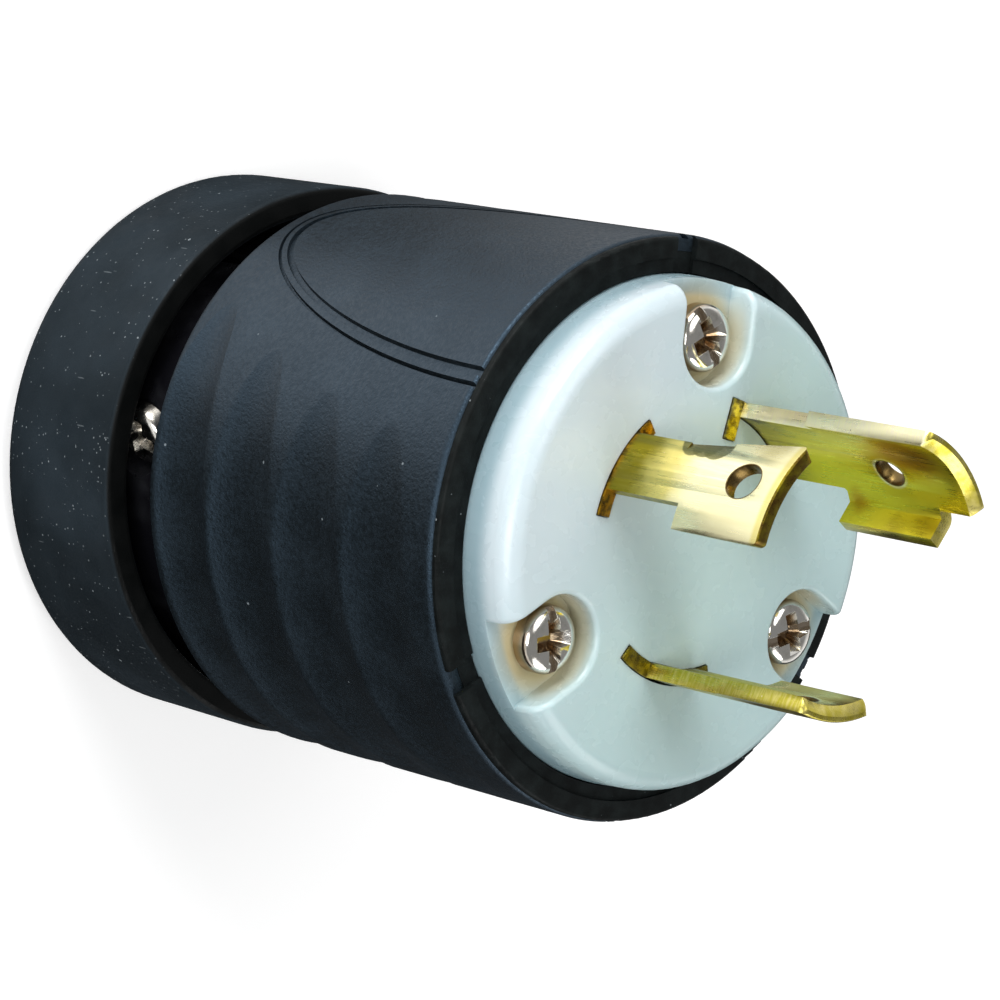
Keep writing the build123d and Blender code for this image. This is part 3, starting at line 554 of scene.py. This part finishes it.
# Painted shade darkens the foot of the disc's side, where the black ring stands close to it
foot_share = remap(tree, depth, 2.2 * mm, 4.4 * mm, 0.0, 0.8)
outer = vector_maths(tree, "LENGTH", "Value", vector_maths(tree, "MULTIPLY", "Vector", coords, (1, 1, 0)))
rim_share = remap(tree, outer, 23.2 * mm, 24.0 * mm)
face_colour = mix_colours(tree, calculate(tree, "MULTIPLY", foot_share, rim_share), face_colour, face_shade)
grey_specks = specks(tree, coords, 4.5 * mm, 0.035)
face_colour = mix_colours(tree, calculate(tree, "MULTIPLY", grey_specks, 0.5), face_colour, boot_faded)
connect(
    tree,
    shader,
    Base_Color=face_colour,
    Roughness=remap(tree, mottle(tree, coords, 2.5 * mm), 0.3, 0.7, 0.2, 0.32),
    Normal=emboss(tree, mottle(tree, coords, face_wave_size), face_wave_depth),
)
dress("face", face_nylon)

# Front ring: a soft black seal pressed into the body's mouth round the white face.
# Its flat front is finely grained, and its inner edge was trimmed by hand and is a little ragged.
ring_charcoal = (0.003, 0.004, 0.004, 1)
ring_worn = (0.009, 0.012, 0.012, 1)
ring_grain_size = 0.2 * mm
ring_grain_depth = 0.02 * mm

ring_rubber, tree, shader, coords = start_finish("ring_rubber", 0.55, specular=0.1)
ring_colour = mix_colours(tree, remap(tree, mottle(tree, coords, 2 * mm), 0.3, 0.8), ring_charcoal, ring_worn)
light_specks = specks(tree, coords, 0.9 * mm, 0.14)
ring_colour = mix_colours(tree, calculate(tree, "MULTIPLY", light_specks, 0.5), ring_colour, dust_grey)
connect(
    tree,
    shader,
    Base_Color=ring_colour,
    Roughness=remap(tree, mottle(tree, coords, 0.6 * mm), 0.3, 0.7, 0.45, 0.65),
    Normal=emboss(tree, mottle(tree, coords, ring_grain_size), ring_grain_depth),
)
dress("front_ring", ring_rubber)

# Screws: nickel-plated pan heads with a cross and a slot, three in the face and two in the clamp.
# Each head is pressed from the wire, and the shank's thread is rolled.
nickel_bright = (0.80, 0.78, 0.73, 1)
nickel_dull = (0.62, 0.59, 0.53, 1)
nickel_brown = (0.34, 0.23, 0.12, 1)
head_radius = 3.35 * mm
head_height = 2.45 * mm
head_rim = 0.9 * mm
head_fullness = 3.4
shank_radius = 1.75 * mm
thread_pitch = 0.9 * mm
thread_depth = 0.28 * mm
slot_width = 0.95 * mm
slot_depth = 0.8 * mm
cross_half_widths = (0.78 * mm, 0.34 * mm)
cross_reaches = (2.3 * mm, 0.9 * mm)
cross_depth = 1.6 * mm
around_count = 72
dome_steps = 14
clearance = 1.0 * mm
head_edge_round = 0.07 * mm
face_shank_length = 33.0 * mm
face_turns = (121.5, 100.0, 19.0)


def make_nickel(name, axis_point, axis, head_top, roughness, film_share):
    # Plated steel whose recess keeps a brown film: the film is deepest below the head's top
    material, tree, shader, coords = start_finish(name, roughness, 1.0)
    offset = vector_maths(tree, "SUBTRACT", "Vector", coords, axis_point)
    along = vector_maths(tree, "DOT_PRODUCT", "Value", offset, axis)
    sunk = calculate(tree, "SUBTRACT", head_top, along)
    film = remap(tree, sunk, 0.4 * mm, 0.95 * mm, 0.0, film_share)
    cloud = mottle(tree, coords, 1.2 * mm)
    colour = mix_colours(tree, remap(tree, cloud, 0.4, 0.8), nickel_bright, nickel_dull)
    connect(
        tree,
        shader,
        Base_Color=mix_colours(tree, film, colour, nickel_brown),
        Roughness=remap(tree, cloud, 0.3, 0.7, roughness / 2, roughness * 1.5),
        Normal=emboss(tree, mottle(tree, coords, 0.5 * mm), 0.012 * mm),
    )
    return material


def lathe(draft, profile):
    rings = []
    for radius, height in profile:
        if radius == 0:
            rings.append([draft.verts.new((0, 0, height))] * around_count)
            continue
        bearings = [360 * step / around_count for step in range(around_count)]
        rings.append([draft.verts.new(spot_at(bearing, radius, height)) for bearing in bearings])
    for lower, upper in zip(rings, rings[1:]):
        for step in range(around_count):
            after = (step + 1) % around_count
            corners = (lower[step], lower[after], upper[after], upper[step])
            draft.faces.new(list(dict.fromkeys(corners)))


def make_pan_head():
    # Dome from the seat at height zero to its top, with a flat underside
    draft = bmesh.new()
    profile = [(0, 0), (head_radius - head_rim / 4, 0), (head_radius, head_rim / 4)]
    for step in range(dome_steps + 1):
        angle = pi / 2 * (1 - step / dome_steps)
        radius = head_radius * max(sin(angle), 0) ** (2 / head_fullness)
        height = head_rim + (head_height - head_rim) * max(cos(angle), 0) ** (2 / head_fullness)
        profile.append((0 if step == dome_steps else radius, height))
    lathe(draft, profile)
    mesh = bpy.data.meshes.new("pan_head")
    bmesh.ops.recalc_face_normals(draft, faces=draft.faces)
    draft.to_mesh(mesh)
    draft.free()
    return mesh


def make_recess():
    # Cutter for the drive: a slot right across the head, and a cross that narrows as it goes down
    draft = bmesh.new()
    slot_size = Matrix.Diagonal((2 * (head_radius + clearance), slot_width, slot_depth + clearance, 1))
    slot_centre = Matrix.Translation((0, 0, head_height + (clearance - slot_depth) / 2))
    bmesh.ops.create_cube(draft, size=1.0, matrix=slot_centre @ slot_size)
    slot_mesh = bpy.data.meshes.new("slot_cutter")
    draft.to_mesh(slot_mesh)
    draft.free()
    draft = bmesh.new()
    levels = ((head_height + clearance, 0), (head_height, 0), (head_height - cross_depth, 1))
    rings = []
    for height, row in levels:
        half, reach = cross_half_widths[row], cross_reaches[row]
        ring = []
        for quarter in range(4):
            turn = Matrix.Rotation(quarter * pi / 2, 4, "Z")
            for x, y in ((reach, -half), (reach, half), (half, half)):
                ring.append(draft.verts.new(turn @ Vector((x, y, height))))
        rings.append(ring)
    for upper, lower in zip(rings, rings[1:]):
        for step in range(len(upper)):
            after = (step + 1) % len(upper)
            draft.faces.new((upper[step], upper[after], lower[after], lower[step]))
    draft.faces.new(rings[0])
    draft.faces.new(rings[-1])
    bmesh.ops.recalc_face_normals(draft, faces=draft.faces)
    cross_mesh = bpy.data.meshes.new("cross_cutter")
    draft.to_mesh(cross_mesh)
    draft.free()
    return slot_mesh, cross_mesh


def make_screw_tree():
    # Adds the shank and its rolled thread to a head, and sets one screw at each place
    tree = bpy.data.node_groups.new("screw_row", "GeometryNodeTree")
    sockets = tree.interface
    sockets.new_socket("Geometry", in_out="INPUT", socket_type="NodeSocketGeometry")
    for label in ("Shank Length", "Shank Radius", "Thread Pitch", "Thread Depth", "Circle Radius"):
        sockets.new_socket(label, in_out="INPUT", socket_type="NodeSocketFloat")
    sockets.new_socket("Count", in_out="INPUT", socket_type="NodeSocketInt")
    for label in ("First Bearing", "Turn 1", "Turn 2", "Turn 3"):
        sockets.new_socket(label, in_out="INPUT", socket_type="NodeSocketFloat")
    sockets.new_socket("Metal", in_out="INPUT", socket_type="NodeSocketMaterial")
    sockets.new_socket("Geometry", in_out="OUTPUT", socket_type="NodeSocketGeometry")
    given = tree.nodes.new("NodeGroupInput").outputs
    result = tree.nodes.new("NodeGroupOutput")
    turns_count = calculate(tree, "DIVIDE", given["Shank Length"], given["Thread Pitch"])
    helix = place_node(
        tree,
        "GeometryNodeCurveSpiral",
        {
            "Resolution": 24,
            "Rotations": turns_count,
            "Start Radius": given["Shank Radius"],
            "End Radius": given["Shank Radius"],
            "Height": given["Shank Length"],
        },
    ).outputs["Curve"]
    ridge = place_node(
        tree, "GeometryNodeCurvePrimitiveCircle", {"Resolution": 3, "Radius": given["Thread Depth"]}
    ).outputs["Curve"]
    thread = place_node(
        tree, "GeometryNodeCurveToMesh", {"Curve": helix, "Profile Curve": ridge, "Fill Caps": True}
    ).outputs["Mesh"]
    shank = place_node(
        tree,
        "GeometryNodeMeshCylinder",
        {"Vertices": 24, "Radius": given["Shank Radius"], "Depth": given["Shank Length"]},
    ).outputs["Mesh"]
    whole_drop = calculate(tree, "MULTIPLY", given["Shank Length"], -1.0)
    half_drop = calculate(tree, "MULTIPLY", given["Shank Length"], -0.5)
    thread_shift = place_node(tree, "ShaderNodeCombineXYZ", {"Z": whole_drop}).outputs["Vector"]
    shank_shift = place_node(tree, "ShaderNodeCombineXYZ", {"Z": half_drop}).outputs["Vector"]
    low_thread = place_node(
        tree, "GeometryNodeTransform", {"Geometry": thread, "Translation": thread_shift}
    ).outputs["Geometry"]
    low_shank = place_node(
        tree, "GeometryNodeTransform", {"Geometry": shank, "Translation": shank_shift}
    ).outputs["Geometry"]
    screw = place_node(tree, "GeometryNodeJoinGeometry")
    for piece in (low_shank, low_thread, given["Geometry"]):
        tree.links.new(piece, screw.inputs["Geometry"])
    screw_index = place_node(tree, "GeometryNodeInputIndex").outputs["Index"]
    step_angle = calculate(tree, "DIVIDE", tau, given["Count"])
    first_angle = calculate(tree, "RADIANS", given["First Bearing"])
    own_angle = calculate(tree, "MULTIPLY_ADD", screw_index, step_angle, first_angle)
    own_place = place_node(
        tree,
        "ShaderNodeCombineXYZ",
        {
            "X": calculate(tree, "MULTIPLY", calculate(tree, "COSINE", own_angle), given["Circle Radius"]),
            "Y": calculate(tree, "MULTIPLY", calculate(tree, "SINE", own_angle), given["Circle Radius"]),
        },
    ).outputs["Vector"]
    places = place_node(
        tree, "GeometryNodePoints", {"Count": given["Count"], "Position": own_place}
    ).outputs["Points"]
    chosen = place_node(tree, "GeometryNodeIndexSwitch", data_type="FLOAT")
    chosen.index_switch_items.new()
    tree.links.new(screw_index, chosen.inputs["Index"])
    for index, label in enumerate(("Turn 1", "Turn 2", "Turn 3")):
        tree.links.new(given[label], chosen.inputs[str(index)])
    own_turn = place_node(
        tree, "ShaderNodeCombineXYZ", {"Z": calculate(tree, "RADIANS", chosen.outputs[0])}
    ).outputs["Vector"]
    row = place_node(
        tree,
        "GeometryNodeInstanceOnPoints",
        {"Points": places, "Instance": screw.outputs["Geometry"], "Rotation": own_turn},
    ).outputs["Instances"]
    whole = place_node(tree, "GeometryNodeRealizeInstances", {"Geometry": row}).outputs["Geometry"]
    plated = place_node(
        tree, "GeometryNodeSetMaterial", {"Geometry": whole, "Material": given["Metal"]}
    ).outputs["Geometry"]
    tree.links.new(plated, result.inputs["Geometry"])
    return tree


def cut_head():
    slot_mesh, cross_mesh = make_recess()
    head = link_piece("screw_head", make_pan_head(), nickel_face)
    cutters = []
    for mesh in (slot_mesh, cross_mesh):
        cutter = link_piece(mesh.name, mesh, nickel_face)
        cutters.append(cutter)
        cut = head.modifiers.new("drive_recess", "BOOLEAN")
        cut.operation = "DIFFERENCE"
        cut.solver = "EXACT"
        cut.object = cutter
    settle(head)
    for cutter in cutters:
        bpy.data.objects.remove(cutter)
    return round_edges(head, head_edge_round)


def place_screws(name, metal, shank_length, circle_radius, first_bearing, turns, to_place, nodes):
    piece = link_piece(name, pattern_head.data.copy(), metal)
    row = piece.modifiers.new("screw_row", "NODES")
    row.node_group = screw_tree
    values = {
        "Shank Length": shank_length,
        "Shank Radius": shank_radius - thread_depth / 2,
        "Thread Pitch": thread_pitch,
        "Thread Depth": thread_depth,
        "Circle Radius": circle_radius,
        "Count": len(turns),
        "First Bearing": first_bearing,
        "Metal": metal,
    }
    for index, turn in enumerate(turns):
        values["Turn " + str(index + 1)] = turn
    for item in screw_tree.interface.items_tree:
        if item.in_out == "INPUT" and item.name in values:
            row[item.identifier] = values[item.name]
    settle(piece)
    piece.data.transform(to_place)
    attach(piece, "root")
    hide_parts(*nodes)


seat_height = root_height - well_depth
nickel_face = make_nickel("screw_nickel_face", (0, 0, seat_height), (0, 0, 1), head_height, 0.12, 0.85)
screw_tree = make_screw_tree()
pattern_head = cut_head()
place_screws(
    "assembly_screws",
    nickel_face,
    face_shank_length,
    screw_circle,
    first_screw_bearing,
    face_turns,
    Matrix.Translation((0, 0, seat_height)),
    ["assembly_screw_" + str(index + 1) for index in range(screw_count)],
)

clamp_bearing = 29.0
clamp_screw_height = 16.2 * mm
clamp_screw_offset = 13.4 * mm
clamp_screw_seat = 18.0 * mm
clamp_shank_length = 35.0 * mm
clamp_turns = (25.0, 70.0)
clamp_pull = Vector((cos(radians(clamp_bearing)), sin(radians(clamp_bearing)), 0))
clamp_across = Vector((-clamp_pull.y, clamp_pull.x, 0))
clamp_seat_point = clamp_pull * clamp_screw_seat + Vector((0, 0, clamp_screw_height))
clamp_turn = Matrix((clamp_across, Vector((0, 0, 1)), clamp_pull)).transposed().to_4x4()
nickel_clamp = make_nickel("screw_nickel_clamp", clamp_seat_point, clamp_pull, head_height, 0.2, 0.15)
place_screws(
    "clamp_screws",
    nickel_clamp,
    clamp_shank_length,
    clamp_screw_offset,
    0.0,
    clamp_turns,
    Matrix.Translation(clamp_seat_point) @ clamp_turn,
    ["clamp_screw_left", "clamp_screw_right"],
)
bpy.data.objects.remove(pattern_head)

# Studio: a pale floor, soft lamps round the plug and a long lens a third of a metre away.
# The floor and the room are white to the eye, and the floor keeps the plug's shadow.
floor_half = 4.0
floor_pale = (0.86, 0.86, 0.86, 1)
camera_place = (0.24689, -0.03621, 0.30208)
camera_angles = (-11.432, -43.010, -171.865)
camera_lens = 126.0
# Each lamp's place, size and power
lamps = (
    ("key_lamp", (0.40, -0.74, 0.26), 0.5, 6.1),
    ("top_lamp", (0.0, -0.40, 0.80), 0.6, 1.9),
    ("back_lamp", (-0.20, 0.60, 0.50), 0.5, 1.9),
    ("side_lamp", (0.42, 0.04, 0.36), 0.3, 1.3),
)
lamp_aim = Vector((0, 0, 0.05))
floor_glow = 0.36
white_reaches = (0.25, 0.8)
room_fill = 0.25
# In reflections the floor is dark but for two glowing patches, a near one and a far one: painted reflections,
# with no lamp behind them
near_light_bearing = -44.0
near_light_spread = (0.78, 0.98)
near_light_start = (0.035, 0.065, 0.4, 1.7)
near_light_end = (0.075, 0.1, 1.0, 0.8)
far_light_bearing = -96.0
far_light_spread = (0.7, 0.95)
far_light_start = (0.062, 0.098, 0.05, 1.05)
mirrored_low = 0.05


def seen_share(tree):
    # One where a ray comes from the camera, a glossy surface or a clear one
    path = place_node(tree, "ShaderNodeLightPath").outputs
    seen = calculate(tree, "MAXIMUM", path["Is Camera Ray"], path["Is Glossy Ray"])
    return calculate(tree, "MAXIMUM", seen, path["Is Transmission Ray"])


floor_mesh = bpy.data.meshes.new("floor")
floor_corners = [(x * floor_half, y * floor_half, 0) for x, y in ((-1, -1), (1, -1), (1, 1), (-1, 1))]
floor_mesh.from_pydata(floor_corners, [], [(0, 1, 2, 3)])
floor_finish, tree, shader, coords = start_finish("floor_pale", 0.9)
shader.inputs["Base Color"].default_value = floor_pale
shader.inputs["Specular IOR Level"].default_value = 0.0
floor_reach = vector_maths(tree, "LENGTH", "Value", coords)
distant_glow = remap(tree, floor_reach, *white_reaches, floor_glow, 1.0)
glow_level = calculate(tree, "MULTIPLY", seen_share(tree), distant_glow)
glow = place_node(tree, "ShaderNodeEmission", {"Strength": glow_level})
pale = place_node(tree, "ShaderNodeAddShader", {0: shader.outputs[0], 1: glow.outputs[0]})
floor_way = vector_maths(tree, "NORMALIZE", "Vector", coords)
near_way = vector_maths(tree, "DOT_PRODUCT", "Value", floor_way, spot_at(near_light_bearing, 1.0, 0))
far_way = vector_maths(tree, "DOT_PRODUCT", "Value", floor_way, spot_at(far_light_bearing, 1.0, 0))
near_painted_reflection = remap(tree, near_way, *near_light_spread)
near_painted_reflection = calculate(tree, "MULTIPLY", near_painted_reflection, remap(tree, floor_reach, *near_light_start))
near_painted_reflection = calculate(tree, "MULTIPLY", near_painted_reflection, remap(tree, floor_reach, *near_light_end))
far_painted_reflection = remap(tree, far_way, *far_light_spread)
far_painted_reflection = calculate(tree, "MULTIPLY", far_painted_reflection, remap(tree, floor_reach, *far_light_start))
bright_level = calculate(tree, "ADD", calculate(tree, "MAXIMUM", near_painted_reflection, far_painted_reflection), mirrored_low)
lobe = place_node(tree, "ShaderNodeEmission", {"Strength": bright_level})
mirrored = place_node(tree, "ShaderNodeLightPath").outputs["Is Glossy Ray"]
whole = place_node(tree, "ShaderNodeMixShader", {0: mirrored, 1: pale.outputs[0], 2: lobe.outputs[0]})
tree.links.new(whole.outputs[0], tree.nodes["Material Output"].inputs["Surface"])
floor = link_piece("floor", floor_mesh, floor_finish)

world = bpy.data.worlds.new("pale_room")
bpy.context.scene.world = world
world.use_nodes = True
tree = world.node_tree
room = tree.nodes["Background"]
room.inputs["Color"].default_value = (1, 1, 1, 1)
looking = place_node(tree, "ShaderNodeTexCoord").outputs["Generated"]
height_share = place_node(tree, "ShaderNodeSeparateXYZ", {"Vector": looking}).outputs["Z"]
ceiling = remap(tree, height_share, 0.15, 0.55, 1.0, 0.1)
camera_share = place_node(tree, "ShaderNodeLightPath").outputs["Is Camera Ray"]
seen_room = calculate(tree, "MAXIMUM", calculate(tree, "MULTIPLY", seen_share(tree), ceiling), camera_share)
tree.links.new(calculate(tree, "MAXIMUM", seen_room, room_fill), room.inputs["Strength"])

for name, place, size, power in lamps:
    lamp_data = bpy.data.lights.new(name, "AREA")
    lamp_data.shape = "DISK"
    lamp_data.size = size
    lamp_data.energy = power
    lamp = bpy.data.objects.new(name, lamp_data)
    lamp.location = place
    lamp.rotation_euler = (lamp_aim - Vector(place)).to_track_quat("-Z", "Y").to_euler()
    bpy.context.scene.collection.objects.link(lamp)

camera_data = bpy.data.cameras.new("camera")
camera_data.lens = camera_lens
camera_data.clip_start = 0.01
camera = bpy.data.objects.new("camera", camera_data)
camera.location = camera_place
camera.rotation_euler = [radians(angle) for angle in camera_angles]
bpy.context.scene.collection.objects.link(camera)
bpy.context.scene.camera = camera
bpy.context.scene.view_settings.view_transform = "Standard"
